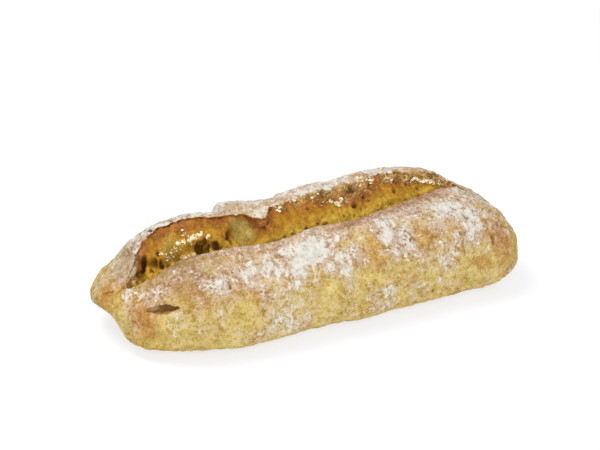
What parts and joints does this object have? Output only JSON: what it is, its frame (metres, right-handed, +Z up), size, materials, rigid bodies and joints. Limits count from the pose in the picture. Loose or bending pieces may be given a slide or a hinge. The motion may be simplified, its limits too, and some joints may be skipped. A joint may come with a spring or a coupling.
{
  "type": "bread roll",
  "caption": "Oblong rustic bread roll with a flat base, a long score burst open along its top, a soft floured lip in front of it and a thin craggy ear of crust behind it.",
  "frame": {"origin": "the middle of the flat base, on the plane that the roll stands on", "axes": "+X along the roll to the blunt end, +Y to the back, behind the ear of the score, +Z up"},
  "size_m": [0.1902, 0.0695, 0.0469],
  "materials": {
    "crust": "matte, floured"
  },
  "bodies": {
    "root": {"bread_roll": "crust"}
  },
  "joints": []
}
